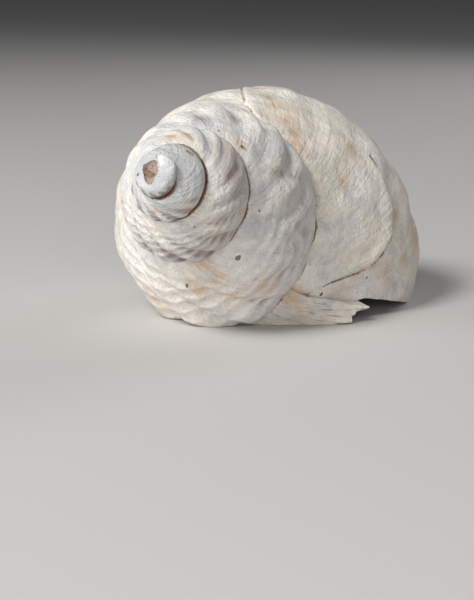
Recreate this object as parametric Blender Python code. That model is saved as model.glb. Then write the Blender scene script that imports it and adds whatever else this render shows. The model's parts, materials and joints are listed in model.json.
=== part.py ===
"""Sea snail shell, coiled to the right and worn by the sea, lying on its lip with its mouth down.

The shell is one solid. Its outside is a strip of whorl profiles that turns about the coil axis from
the apex to the lip, each whorl seated on the one before it. The mouth is hollowed out of the last
whorl by a horn of the same family of profiles, and the lip ends flat on the ground, z = 0.
Turns are counted from the lip, where the turn is 0, back to the apex, where it is negative.
"""
import math

import bpy
import numpy as np

# Driving dimensions, in metres
SHELL_LENGTH = 0.086
SUTURE_RADIUS = 0.02035
SUTURE_HEIGHT = 0.0382
WALL = 0.0017
CALLUS = 0.0003
CANAL_RADIUS = 0.0046

# The coil: growth per turn of the suture's radius, and how its height follows that radius
GROWTH = (0.513, -0.0126, 0.0033)
TALLNESS = 1.40
FIRST_TURN = -4.5
LAST_TURN = 0.06
LIP_ANGLE = math.radians(73.3)

# How the shell lies: the coil axis falls from the apex towards the canal
AXIS_FALL = math.radians(19.74)
APEX = (-0.0040, -0.0415, 0.0331)

# Where the coil's middle strays from a straight axis: the turn, the reach in turns, how far to the
# right and how far under
AXIS_SWAYS = ((-4.35, 0.45, 0.0008, 0.0004), (-3.10, 0.60, -0.00095, 0.00055),
              (-2.90, 0.25, 0.0, 0.0005), (-1.93, 0.20, 0.0, 0.0005), (-0.88, 0.12, 0.00035, -0.00035))

# The whorl's profile between two sutures: its swell, and how far the swell sits above the middle
SWELL = 0.096
SWELL_AT_APEX = 0.024
SWELL_LEAN = -0.019
SWELL_OF_BUD = 0.06

# The base below the whorl: full on the outside, drawn in where it forms the mouth's inner wall
BASE_REACH = 0.52
INNER_REACH = 0.14
NECK_RADIUS = 0.0092
INNER_NECK_RADIUS = 0.0058
NECK_LENGTH = 0.015
INNER_NECK_LENGTH = 0.025

# Folds along the growth lines, which lean back from the suture, grow low on a whorl this wide and
# are worn down on the last turn
FOLDS_PER_TURN = 14.5
FOLD_PHASE = 0.42
FOLD_HEIGHT = 0.032
FOLD_SHARPNESS = 1.4
FOLD_DEPTH = 0.5
FOLD_LOW_FROM = 0.045
FOLD_WORN = 0.65
FOLD_WORN_OVER = (-0.95, -0.50)
LEAN = 0.17

# The lower edges of the spire's whorls, which stand out in teeth on the lower left as it lies
EDGE_SIDES = (0.62, 0.92, 0.945, 0.99)
EDGE_HEIGHT = 0.014
TOOTH_HEIGHT = 0.075
TEETH_AT = math.radians(118.0)

# The swelling behind the lip: its height, where it is as (turn, side), and how far it spreads
FLARE = 0.0009
FLARE_AT = (-0.2, 0.85)
FLARE_SPREAD = (0.11, 0.38)

# The newest band of growth at the lip: where it starts, how far it stands out and its lamellae
FLANGE_TOP = -0.078
FLANGE_TOP_LEAN = 0.105
FLANGE_END = 0.035
FLANGE_END_LEAN = 0.20
FLANGE_SIDES = (0.004, 0.49)
FLANGE_RISE = 0.0008
FLANGE_ROOT = 0.0009
FLANGE_FLARE = 0.0022
LAMELLA_LEAN = 0.235
LAMELLA_LINE = -0.033
LAMELLA_BAND = 0.013
LAMELLA_HEIGHT = 0.00022
LAMELLA_SPACING = 0.0095

# Damage and growth marks, as (turn, side) on the whorl
CHIP_FROM = (-0.102, 0.45)
CHIP_TO = (-0.145, 0.90)
CHIP_WIDTH = (-0.008, 0.009)
CHIP_OUTLINE = ((-0.0040, -0.004), (-0.0034, 0.0002), (-0.0031, 0.0013), (-0.0022, 0.0022),
                (-0.0002, 0.0026), (0.0001, 0.0039), (0.0020, 0.0040), (0.0065, 0.0032),
                (0.0106, 0.0022), (0.0125, 0.0018))
OLD_BREAK = ((-0.086, 0.10), (-0.122, 0.21), (-0.142, 0.31), (-0.160, 0.42), (-0.175, 0.47),
             (-0.190, 0.52), (-0.210, 0.57), (-0.232, 0.60), (-0.252, 0.58), (-0.270, 0.56),
             (-0.290, 0.56))
OLD_BREAK_WIDTH = 0.0016
GROWTH_STOP = ((-0.385, 0.02), (-0.412, 0.10), (-0.441, 0.25), (-0.456, 0.42), (-0.466, 0.57),
               (-0.476, 0.75))
GROWTH_STOP_WIDTH = 0.0015
GROOVE_LIFT = 0.0004

# The canal's channel: x, y and z of its middle and its radius, from the mouth to beyond the end
CANAL_ROUTE = ((0.0073, 0.012, 0.0045, 0.0020), (0.0035, 0.022, 0.0032, 0.0032),
               (0.0003, 0.033, 0.0014, 0.0031), (-0.0017, 0.046, 0.0010, 0.0028))

# The hollow: where it starts and ends, and its section between the last whorl's wall and the one inside
HORN_START = -0.66
HORN_END = LAST_TURN + 0.10
HORN_OPENS_OVER = 0.16
HORN_MIDDLE = 0.99
HORN_REACH = 0.80
HORN_FULLNESS = 0.8

# Mesh density
ROWS_PER_TURN = 75
SIDE_STEPS = 8
BASE_STEPS = 8
HORN_POINTS = 20
HORN_ROWS_PER_TURN = 44
FLANGE_STEPS = (16, 12)
TUBE_CORNERS = 8
CANAL_CORNERS = 12


def smooth(value, low, high):
    """Goes from 0 at low to 1 at high, level at both ends."""
    part = np.clip((value - low) / (high - low), 0.0, 1.0)
    return part * part * (3.0 - 2.0 * part)


def suture(turn):
    """Radius and height of the seam that the whorl starts from."""
    growth = GROWTH[0] * turn + GROWTH[1] * turn ** 2 + GROWTH[2] * turn ** 3
    radius = SUTURE_RADIUS * np.exp(growth)
    return radius, SUTURE_HEIGHT * np.exp(TALLNESS * growth)


def plain_profile(turn, side):
    """Radius and height on the worn-smooth whorl: side 0 to 1 is the whorl, 1 to 2 the base."""
    r0, h0 = suture(turn)
    r1, h1 = suture(turn + 1.0)
    along = np.clip(side, 0.0, 1.0)
    swell = SWELL - SWELL_AT_APEX * turn + SWELL_OF_BUD * smooth(-turn, 3.0, 3.8)
    bulge = swell * np.sin(math.pi * along) + SWELL_LEAN * np.sin(2.0 * math.pi * along)
    radius = r0 + (r1 - r0) * along + (h1 - h0) * bulge
    height = h0 + (h1 - h0) * along - (r1 - r0) * bulge

    slope = -math.pi * (swell - 2.0 * SWELL_LEAN)
    way_r = (r1 - r0) + (h1 - h0) * slope
    way_h = (h1 - h0) - (r1 - r0) * slope
    full = smooth(turn, LAST_TURN - 1.0, LAST_TURN - 0.7)
    reach = (INNER_REACH + (BASE_REACH - INNER_REACH) * full)
    reach = reach * np.hypot(r1 - r0, h1 - h0) / np.hypot(way_r, way_h)
    neck_r = INNER_NECK_RADIUS + (NECK_RADIUS - INNER_NECK_RADIUS) * full
    neck_h = SHELL_LENGTH - INNER_NECK_LENGTH - (NECK_LENGTH - INNER_NECK_LENGTH) * full
    down = np.clip(side - 1.0, 0.0, 1.0)
    weights = ((1 - down) ** 3, 3 * down * (1 - down) ** 2, 3 * down ** 2 * (1 - down), down ** 3)
    knots_r = (r1, r1 + way_r * reach, neck_r, CANAL_RADIUS)
    knots_h = (h1, h1 + way_h * reach, neck_h, SHELL_LENGTH)
    base_r = sum(weight * knot for weight, knot in zip(weights, knots_r))
    base_h = sum(weight * knot for weight, knot in zip(weights, knots_h))
    on_base = side > 1.0
    return np.where(on_base, base_r, radius), np.where(on_base, base_h, height)


def relief(turn, side):
    """How far the folds, the edges and the swelling behind the lip stand above the smooth whorl."""
    r0, h0 = suture(turn)
    r1, h1 = suture(turn + 1.0)
    chord = np.hypot(r1 - r0, h1 - h0)
    size = FOLD_HEIGHT * chord / (1.0 + (chord / FOLD_LOW_FROM) ** 2)
    size = size * (1.0 - FOLD_WORN * smooth(turn, *FOLD_WORN_OVER))
    wave = np.cos(2.0 * math.pi * (FOLDS_PER_TURN * (turn + LEAN * side) - FOLD_PHASE))
    wave = 1.0 - 2.0 * (0.5 - 0.5 * wave) ** FOLD_SHARPNESS
    band = smooth(side, 0.05, 0.55) * (1.0 - smooth(side, 0.75, 1.0))
    newest = smooth(turn, LAST_TURN - 1.0, LAST_TURN - 0.85)
    open_band = smooth(side, 0.05, 0.55) * (1.0 - smooth(side, 1.1, 1.6))
    band = band + newest * (open_band - band)
    worn = smooth(turn, FIRST_TURN + 1.2, FIRST_TURN + 2.2)
    folds = size * worn * band * (wave - FOLD_DEPTH)
    low_left = smooth(np.cos(2.0 * math.pi * turn + LIP_ANGLE - TEETH_AT), -0.1, 0.75)
    edge = smooth(side, *EDGE_SIDES[:2]) * (1.0 - smooth(side, *EDGE_SIDES[2:])) * (1.0 - newest)
    edge = chord * worn * edge * (EDGE_HEIGHT + TOOTH_HEIGHT * low_left * (0.625 + 0.375 * wave))
    flare_turn = np.exp(-((turn - FLARE_AT[0]) / FLARE_SPREAD[0]) ** 2)
    flare_side = np.exp(-((side - FLARE_AT[1]) / FLARE_SPREAD[1]) ** 2) * smooth(side, 0.0, 0.3)
    return folds + edge + FLARE * flare_turn * flare_side


def profile(turn, side, out=0.0):
    """Radius and height on the shell's outside, or that far outside it."""
    step = 0.002
    radius, height = plain_profile(turn, side)
    r_before, h_before = plain_profile(turn, side - step)
    r_after, h_after = plain_profile(turn, side + step)
    slope_r, slope_h = r_after - r_before, h_after - h_before
    length = np.hypot(slope_r, slope_h)
    rise = relief(turn, side) + out
    return radius + rise * slope_h / length, height - rise * slope_r / length


def place(turn, radius, height):
    """The point in the resting shell at a turn, a radius and a height along the coil axis."""
    angle = 2.0 * math.pi * turn + LIP_ANGLE
    right = radius * np.cos(angle)
    under = radius * np.sin(angle)
    fall_cos, fall_sin = math.cos(AXIS_FALL), math.sin(AXIS_FALL)
    return np.stack([
        APEX[0] + right,
        APEX[1] + height * fall_cos - under * fall_sin,
        APEX[2] - height * fall_sin - under * fall_cos,
    ], axis=-1)


def sway(turn):
    """How far the coil's middle strays from a straight axis where this seam runs."""
    right = sum(far * np.exp(-((turn - at) / width) ** 2) for at, width, far, _ in AXIS_SWAYS)
    under = sum(low * np.exp(-((turn - at) / width) ** 2) for at, width, _, low in AXIS_SWAYS)
    return np.stack([right, -under * math.sin(AXIS_FALL), -under * math.cos(AXIS_FALL)], axis=-1)


def surface(turn, side, out=0.0):
    """The point on the shell's outside, or that far outside it."""
    turn, side = np.broadcast_arrays(np.asarray(turn, float), np.asarray(side, float))
    return place(turn, *profile(turn, side, out)) + sway(turn + np.clip(side, 0.0, 1.0))


def make_object(name, points, faces, material=None):
    """A mesh object from points and faces."""
    mesh = bpy.data.meshes.new(name)
    mesh.from_pydata([tuple(point) for point in points], [], faces)
    mesh.update()
    made = bpy.data.objects.new(name, mesh)
    bpy.context.scene.collection.objects.link(made)
    if material:
        mesh.materials.append(material)
    return made


def cutter(made):
    """Marks an object as a tool that isn't part of the shell."""
    made.hide_render = True
    made.display_type = "WIRE"
    return made


def add_boolean(target, tool, operation):
    """Joins a tool to the target, or cuts it away."""
    modifier = target.modifiers.new(tool.name, "BOOLEAN")
    modifier.operation = operation
    modifier.solver = "EXACT"
    modifier.object = tool


def shell_material():
    """Chalky off-white shell."""
    material = bpy.data.materials.new("worn_shell")
    material.use_nodes = True
    shader = material.node_tree.nodes["Principled BSDF"]
    shader.inputs["Base Color"].default_value = (0.72, 0.67, 0.60, 1.0)
    shader.inputs["Roughness"].default_value = 0.7
    shader.inputs["Metallic"].default_value = 0.0
    return material


def make_envelope(material):
    """The closed outside of the whole coil, with the mouth still filled.

    Every row holds the points of one whorl profile. A row ends on the seam where the row one turn
    later begins, so the two share that point. The rows of the last turn go on down the base.
    """
    turns_made = LAST_TURN - FIRST_TURN
    row_count = round(turns_made * ROWS_PER_TURN)
    turns = LAST_TURN - np.arange(row_count, -1, -1) / ROWS_PER_TURN
    first_open = row_count - ROWS_PER_TURN
    points, rows = [], []
    for index, turn in enumerate(turns):
        own = SIDE_STEPS if index < first_open else SIDE_STEPS + BASE_STEPS
        sides = [step / SIDE_STEPS for step in range(min(own, SIDE_STEPS))]
        if index >= first_open:
            sides += [1.0 + step / BASE_STEPS for step in range(BASE_STEPS)]
        start = len(points)
        points.extend(surface(np.full(len(sides), turn), sides))
        rows.append(list(range(start, start + len(sides))))
    for index in range(first_open):
        rows[index].append(rows[index + ROWS_PER_TURN][0])
    rows[first_open][SIDE_STEPS] = rows[row_count][0]

    tip = len(points)
    points.append(place(0.0, 0.0, SHELL_LENGTH + 0.0008))
    rim = []
    for index in range(first_open, row_count):
        rim.append(len(points))
        points.append(place(turns[index], *plain_profile(turns[index], np.array(2.0))))
        rows[index].append(rim[-1])
    rows[row_count].append(rim[0])
    apex = len(points)
    points.append(place(0.0, 0.0, 0.9 * suture(FIRST_TURN)[1]))

    faces = []
    for before, after in zip(rows[:-1], rows[1:]):
        for step in range(min(len(before), len(after)) - 1):
            faces.append((before[step], after[step], after[step + 1], before[step + 1]))
    for here, there in zip(rim, rim[1:] + rim[:1]):
        faces.append((here, there, tip))
    seam = [row[0] for row in rows[:ROWS_PER_TURN + 1]]
    for here, there in zip(seam[:-1], seam[1:]):
        faces.append((apex, there, here))
    for here, there in zip(rows[0][:-1], rows[0][1:]):
        faces.append((apex, here, there))
    outer = rows[row_count]
    inner = rows[first_open][SIDE_STEPS:]
    faces.append(tuple(inner[1:-1] + outer[::-1]))
    return make_object("shell", points, faces, material)


def horn_section(turn, size):
    """One closed loop of the hollow: between the last whorl's wall and the whorl before it."""
    round_angle = 2.0 * math.pi * np.arange(HORN_POINTS) / HORN_POINTS
    across = np.sign(np.sin(round_angle)) * np.abs(np.sin(round_angle)) ** HORN_FULLNESS
    along = np.sign(np.cos(round_angle)) * np.abs(np.cos(round_angle)) ** HORN_FULLNESS
    side = HORN_MIDDLE + HORN_REACH * size * along
    outer_r, outer_h = profile(np.full(HORN_POINTS, turn), side)
    inner_r, inner_h = profile(np.full(HORN_POINTS, turn - 1.0), 1.0 + side / 2.0)
    gap = np.hypot(outer_r - inner_r, outer_h - inner_h)
    middle = 0.5 + 0.5 * (CALLUS - WALL) / gap
    half = np.maximum(0.5 - 0.5 * (CALLUS + WALL) / gap, 0.1)
    weight = middle + half * size * across
    radius = inner_r + (outer_r - inner_r) * weight
    height = inner_h + (outer_h - inner_h) * weight
    return place(turn, radius, height)


def make_horn():
    """The hollow of the last whorl, a horn that widens to the mouth and comes out below it."""
    count = round((HORN_END - HORN_START) * HORN_ROWS_PER_TURN)
    points, faces = [], []
    for index in range(count + 1):
        turn = HORN_START + (HORN_END - HORN_START) * index / count
        size = 0.25 + 0.75 * float(smooth(turn, HORN_START, HORN_START + HORN_OPENS_OVER))
        points.extend(horn_section(turn, size))
    for index in range(count):
        low, high = index * HORN_POINTS, (index + 1) * HORN_POINTS
        for step in range(HORN_POINTS):
            after = (step + 1) % HORN_POINTS
            faces.append((low + step, low + after, high + after, high + step))
    faces.append(tuple(reversed(range(HORN_POINTS))))
    faces.append(tuple(range(count * HORN_POINTS, (count + 1) * HORN_POINTS)))
    return cutter(make_object("mouth_hollow", points, faces))


def tube_along(name, centres, radii, corners=TUBE_CORNERS):
    """A closed tube through the centres, with a radius at each."""
    centres = np.asarray(centres, float)
    ways = np.gradient(centres, axis=0)
    points, faces = [], []
    for centre, way, radius in zip(centres, ways, radii):
        way = way / np.linalg.norm(way)
        first = np.cross(way, (0.0, 0.0, 1.0))
        first = first / np.linalg.norm(first)
        second = np.cross(way, first)
        for corner in range(corners):
            angle = 2.0 * math.pi * corner / corners
            points.append(centre + radius * (math.cos(angle) * first + math.sin(angle) * second))
    last = len(centres) - 1
    for index in range(last):
        low, high = index * corners, (index + 1) * corners
        for step in range(corners):
            after = (step + 1) % corners
            faces.append((low + step, low + after, high + after, high + step))
    faces.append(tuple(reversed(range(corners))))
    faces.append(tuple(range(last * corners, (last + 1) * corners)))
    return make_object(name, points, faces)


def groove(name, route, width, stations=14):
    """A cutter for a furrow along a route of (turn, side) points, fading out at both ends."""
    route = np.array(route)
    spots = np.linspace(0.0, len(route) - 1.0, stations)
    turns = np.interp(spots, range(len(route)), route[:, 0])
    sides = np.interp(spots, range(len(route)), route[:, 1])
    fade = np.sin(math.pi * np.linspace(0.06, 0.94, stations)) ** 0.5
    centres = surface(turns, sides, GROOVE_LIFT)
    return cutter(tube_along(name, centres, 0.5 * width * fade))


def make_flange(material):
    """The newest band of growth along the lip, standing out from an old break, with its lamellae."""
    across, along = FLANGE_STEPS
    high, low = [], []
    for row in range(along + 1):
        side = FLANGE_SIDES[0] + (FLANGE_SIDES[1] - FLANGE_SIDES[0]) * row / along
        back = FLANGE_TOP - FLANGE_TOP_LEAN * side
        front = FLANGE_END - FLANGE_END_LEAN * side
        turn = np.linspace(back, front, across + 1)
        line = turn + LAMELLA_LEAN * side
        ridges = LAMELLA_HEIGHT * np.cos(2.0 * math.pi * line / LAMELLA_SPACING)
        ridges = ridges * np.exp(-((line - LAMELLA_LINE) / LAMELLA_BAND) ** 2)
        turned_out = smooth(line, -0.055, 0.0) * float(smooth(side, 0.08, 0.40))
        rise = FLANGE_RISE * float(smooth(side, -0.06, 0.10)) + FLANGE_FLARE * turned_out + ridges
        high.append(surface(turn, np.full(across + 1, side), rise))
        low.append(surface(turn, np.full(across + 1, side), -FLANGE_ROOT))
    points = np.concatenate([np.reshape(high, (-1, 3)), np.reshape(low, (-1, 3))])
    wide, half = across + 1, (across + 1) * (along + 1)
    faces = []
    for row in range(along):
        for step in range(across):
            here = row * wide + step
            there = here + wide
            faces.append((here, here + 1, there + 1, there))
            faces.append((half + here, half + there, half + there + 1, half + here + 1))
    edge = list(range(wide))
    edge += [row * wide + across for row in range(1, along + 1)]
    edge += [along * wide + step for step in range(across - 1, -1, -1)]
    edge += [row * wide for row in range(along - 1, 0, -1)]
    for here, there in zip(edge, edge[1:] + edge[:1]):
        faces.append((here, half + here, half + there, there))
    return cutter(make_object("lip_flange", points, faces, material))


def make_ground():
    """Everything below the ground that the shell lies on."""
    reach = SHELL_LENGTH
    corners = [(x, y, z) for z in (-reach, 0.0) for y in (-reach, reach) for x in (-reach, reach)]
    sides = [(0, 2, 3, 1), (4, 5, 7, 6), (0, 1, 5, 4), (2, 6, 7, 3), (0, 4, 6, 2), (1, 3, 7, 5)]
    return cutter(make_object("below_ground", corners, sides))


def make_chip():
    """The piece broken out of the lip: a low wedge with two steps at its high end."""
    start = place(CHIP_FROM[0], *plain_profile(CHIP_FROM[0], np.array(CHIP_FROM[1])))
    end = place(CHIP_TO[0], *plain_profile(CHIP_TO[0], np.array(CHIP_TO[1])))
    way = (end - start) * (1.0, 1.0, 0.0)
    length = np.linalg.norm(way)
    way = way / length
    outward = np.array((way[1], -way[0], 0.0))
    beyond = length + 0.002
    outline = CHIP_OUTLINE + ((beyond, -0.0001), (beyond, -0.004))
    points = []
    for depth in CHIP_WIDTH:
        for far, high in outline:
            spot = start + way * far + outward * depth
            points.append((spot[0], spot[1], high))
    count = len(outline)
    faces = [tuple(range(count)), tuple(reversed(range(count, 2 * count)))]
    for step in range(count):
        after = (step + 1) % count
        faces.append((step, count + step, count + after, after))
    return cutter(make_object("lip_chip", points, faces))


def make_canal():
    """The open channel under the snout of the shell, from the mouth out through its end."""
    route = np.array(CANAL_ROUTE)
    spots = np.linspace(0.0, len(route) - 1.0, 9)
    centres = np.stack([np.interp(spots, range(len(route)), column) for column in route.T[:3]], axis=1)
    radii = np.interp(spots, range(len(route)), route[:, 3])
    return cutter(tube_along("canal", centres, radii, CANAL_CORNERS))


def build():
    """Makes the shell."""
    for old in list(bpy.data.objects):
        bpy.data.objects.remove(old)
    material = shell_material()
    shell = make_envelope(material)
    add_boolean(shell, make_flange(material), "UNION")
    add_boolean(shell, make_chip(), "DIFFERENCE")
    add_boolean(shell, groove("old_break", OLD_BREAK, OLD_BREAK_WIDTH), "DIFFERENCE")
    add_boolean(shell, groove("growth_stop", GROWTH_STOP, GROWTH_STOP_WIDTH, 10), "DIFFERENCE")
    add_boolean(shell, make_horn(), "DIFFERENCE")
    add_boolean(shell, make_canal(), "DIFFERENCE")
    add_boolean(shell, make_ground(), "DIFFERENCE")
    return shell


build()
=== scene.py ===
"""Looks of the sea snail shell: its fine sculpture, its colours, the floor, the light and the camera.

The shell is made again with the same dimensions as its solid, in finer steps and with cords, growth
lines, pits and worn seams in its surface. Turns are counted from the lip, where the turn is 0, back to
the apex, where it is negative. Side 0 to 1 crosses the whorl and 1 to 2 the base.
"""
import json
import math

import bmesh
import bpy
import numpy as np
from mathutils import Matrix, Vector

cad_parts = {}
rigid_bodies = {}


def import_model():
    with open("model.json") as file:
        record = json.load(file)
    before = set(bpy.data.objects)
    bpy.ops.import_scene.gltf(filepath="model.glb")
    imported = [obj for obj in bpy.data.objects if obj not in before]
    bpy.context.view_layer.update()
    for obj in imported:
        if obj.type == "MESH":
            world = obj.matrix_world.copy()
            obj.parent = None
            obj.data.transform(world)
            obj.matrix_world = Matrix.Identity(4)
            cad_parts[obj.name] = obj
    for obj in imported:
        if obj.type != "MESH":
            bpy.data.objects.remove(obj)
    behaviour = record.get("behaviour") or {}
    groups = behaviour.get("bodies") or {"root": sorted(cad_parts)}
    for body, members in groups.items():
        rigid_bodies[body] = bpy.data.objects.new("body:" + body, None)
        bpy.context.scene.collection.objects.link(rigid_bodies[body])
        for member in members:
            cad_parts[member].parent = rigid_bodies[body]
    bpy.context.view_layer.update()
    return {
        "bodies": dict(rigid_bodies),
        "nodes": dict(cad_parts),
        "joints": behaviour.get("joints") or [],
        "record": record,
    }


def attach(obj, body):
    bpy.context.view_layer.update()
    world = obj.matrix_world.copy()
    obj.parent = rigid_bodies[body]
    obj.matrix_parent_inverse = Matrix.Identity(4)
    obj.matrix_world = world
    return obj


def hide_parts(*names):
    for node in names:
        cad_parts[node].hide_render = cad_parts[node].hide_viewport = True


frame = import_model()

# The solid's dimensions, in metres
SHELL_LENGTH = 0.086
SUTURE_RADIUS = 0.02035
SUTURE_HEIGHT = 0.0382
WALL = 0.0017
CALLUS = 0.0003
CANAL_RADIUS = 0.0046
GROWTH = (0.513, -0.0126, 0.0033)
TALLNESS = 1.40
FIRST_TURN = -4.5
LAST_TURN = 0.06
LIP_ANGLE = math.radians(73.3)
AXIS_FALL = math.radians(19.74)
APEX = (-0.0040, -0.0415, 0.0331)
SWELL = 0.096
SWELL_AT_APEX = 0.024
SWELL_LEAN = -0.019
SWELL_OF_BUD = 0.06
AXIS_SWAYS = ((-4.35, 0.45, 0.0008, 0.0004), (-3.10, 0.60, -0.00095, 0.00055),
              (-2.90, 0.25, 0.0, 0.0005), (-1.93, 0.20, 0.0, 0.0005), (-0.88, 0.12, 0.00035, -0.00035))
BASE_REACH = 0.52
INNER_REACH = 0.14
NECK_RADIUS = 0.0092
INNER_NECK_RADIUS = 0.0058
NECK_LENGTH = 0.015
INNER_NECK_LENGTH = 0.025
FOLDS_PER_TURN = 14.5
FOLD_PHASE = 0.42
FOLD_HEIGHT = 0.032
FOLD_SHARPNESS = 1.4
FOLD_DEPTH = 0.5
FOLD_LOW_FROM = 0.045
FOLD_WORN = 0.65
FOLD_WORN_OVER = (-0.95, -0.50)
LEAN = 0.17
EDGE_SIDES = (0.62, 0.92, 0.945, 0.99)
EDGE_HEIGHT = 0.018
TOOTH_HEIGHT = 0.075
TEETH_AT = math.radians(118.0)
FLARE = 0.0009
FLARE_AT = (-0.2, 0.85)
FLARE_SPREAD = (0.11, 0.38)
FLANGE_TOP = -0.078
FLANGE_TOP_LEAN = 0.105
FLANGE_END = 0.035
FLANGE_END_LEAN = 0.20
FLANGE_SIDES = (0.004, 0.49)
FLANGE_RISE = 0.0008
FLANGE_ROOT = 0.0009
FLANGE_FLARE = 0.0022
FLANGE_FLARE_LEAN = 0.235
CHIP_FROM = (-0.102, 0.45)
CHIP_TO = (-0.145, 0.90)
CHIP_WIDTH = (-0.008, 0.009)
CHIP_OUTLINE = ((-0.0040, -0.004), (-0.0034, 0.0002), (-0.0031, 0.0013), (-0.0022, 0.0022),
                (-0.0002, 0.0026), (0.0001, 0.0039), (0.0020, 0.0040), (0.0065, 0.0032),
                (0.0106, 0.0022), (0.0125, 0.0018))
OLD_BREAK = ((-0.086, 0.10), (-0.122, 0.21), (-0.142, 0.31), (-0.160, 0.42), (-0.175, 0.47),
             (-0.190, 0.52), (-0.210, 0.57), (-0.232, 0.60), (-0.252, 0.58), (-0.270, 0.56),
             (-0.290, 0.56))
GROWTH_STOP = ((-0.385, 0.02), (-0.412, 0.10), (-0.441, 0.25), (-0.456, 0.42), (-0.466, 0.57),
               (-0.476, 0.75))
CANAL_ROUTE = ((0.0073, 0.012, 0.0045, 0.0020), (0.0035, 0.022, 0.0032, 0.0032),
               (0.0003, 0.033, 0.0014, 0.0031), (-0.0017, 0.046, 0.0010, 0.0028))
HORN_START = -0.66
HORN_END = LAST_TURN + 0.10
HORN_OPENS_OVER = 0.16
HORN_MIDDLE = 0.99
HORN_REACH = 0.80
HORN_FULLNESS = 0.8

# Mesh density: rows in a turn, and steps across each whorl from the apex to the lip
ROWS_PER_TURN = 360
WHORL_STEPS = ((-3.0, 18), (-2.0, 28), (-1.0, 42), (9.0, 62))
BASE_STEPS = 34
HORN_POINTS = 72
HORN_ROWS_PER_TURN = 150

# Fine sculpture, in metres or in parts of a whorl's width
CORD_SPACING = 0.108
CORD_HEIGHT = 0.003
THREAD_HEIGHT = 0.000016
SEAM_CRACK = 0.0003
SEAM_CHANNEL = 0.00022
CRIMP = 0.55
OLD_BREAK_RIDGE = 0.00028
OLD_BREAK_DROP = 0.0005
GROWTH_STOP_RISE = 0.00022
GROWTH_STOP_DROP = 0.0004
METRES_PER_TURN = 2.0 * math.pi * 0.023
METRES_PER_SIDE = 0.041

# Lumps of the worn surface: height, size, seed, how much is taken off, and the whorl widths over which
# they come in
LUMPS = ((0.00036, 0.009, 40, 0.35, 0.006, 0.02), (0.00024, 0.0042, 41, 0.0, 0.004, 0.014),
         (0.00009, 0.0017, 43, 0.0, -1.0, 0.0), (0.00004, 0.0008, 44, 0.0, -1.0, 0.0))

# Thin ledges on the newest band: place along the growth lines, height and width; and the lines of
# painted shade below them: place and amount
LAMELLA_LEAN = 0.15
LAMELLAE = ((-0.064, 0.00035, 0.0018), (-0.057, 0.00055, 0.002), (-0.0505, 0.00045, 0.0018),
            (-0.043, 0.0006, 0.0024), (-0.033, 0.0003, 0.003), (-0.015, 0.00035, 0.004))
SHADE_LINES = ((-0.0625, 1.0), (-0.0555, 1.2), (-0.049, 1.1), (-0.041, 1.2), (-0.031, 1.0))

# Holes and pits: turn, side, half length along the coil, half width across it, half depth, and lift
PITS = (
    (-4.730, 0.75, 0.00225, 0.00185, 0.0014, 0.0003),
    (-3.735, 0.42, 0.00026, 0.00030, 0.0003, 0.0001),
    (-4.052, 0.90, 0.00040, 0.00032, 0.0004, 0.0001),
    (-3.327, 0.72, 0.00075, 0.00038, 0.0006, 0.0001),
    (-2.735, 0.48, 0.00022, 0.00028, 0.0003, 0.0001),
    (-2.329, 0.93, 0.00070, 0.00030, 0.0005, 0.0001),
    (-2.255, 0.95, 0.00050, 0.00026, 0.0004, 0.0001),
    (-1.816, 0.38, 0.00030, 0.00075, 0.0005, 0.0001),
    (-1.388, 0.10, 0.00030, 0.00024, 0.0003, 0.0001),
    (-1.315, 0.11, 0.00055, 0.00034, 0.0005, 0.0001),
    (-1.052, 0.19, 0.00058, 0.00048, 0.0005, 0.0001),
    (-1.163, 0.13, 0.00022, 0.00022, 0.0003, 0.0001),
    (-0.938, 0.30, 0.00030, 0.00050, 0.0003, 0.0001),
    (-2.027, 0.24, 0.00022, 0.00022, 0.0003, 0.0001),
    (-1.745, 0.62, 0.00030, 0.00030, 0.0003, 0.0001),
    (-0.102, 0.20, 0.00045, 0.00030, 0.0004, 0.0001),
    (-0.149, 0.44, 0.00026, 0.00026, 0.0004, 0.0001),
    (-0.034, 0.02, 0.00070, 0.00026, 0.0004, 0.0002),
    (-0.182, 0.01, 0.00045, 0.00024, 0.0004, 0.0001),
    (-0.215, 0.01, 0.00035, 0.00024, 0.0004, 0.0001),
    (-0.700, 0.35, 0.00060, 0.00045, 0.0004, 0.0001),
    (-0.560, 1.20, 0.00040, 0.00055, 0.0004, 0.0001),
)

# How rough the pits are, the height from which the top of the shell is worn flatter, how high the lip
# is pale inside, and the least part of the shell's faces that sound cuts leave
PIT_ROUGHNESS = 0.34
TOP_WORN_FROM = 0.0424
PALE_LIP = 0.006
FACES_LEFT = 0.8

# Where the seam is opened and painted dark, partly dirt and partly painted shade: turn, reach in turns,
# amount
DARK_SEAMS = ((-2.24, 0.14, 0.9), (-2.05, 0.10, 0.5), (-1.33, 0.06, 0.8), (-1.20, 0.08, 0.5),
               (-1.08, 0.06, 0.6), (-3.02, 0.12, 0.7), (-0.10, 0.06, 0.8), (-0.20, 0.03, 0.4),
               (-1.42, 0.05, 0.4), (-0.95, 0.05, 0.2))

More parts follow.
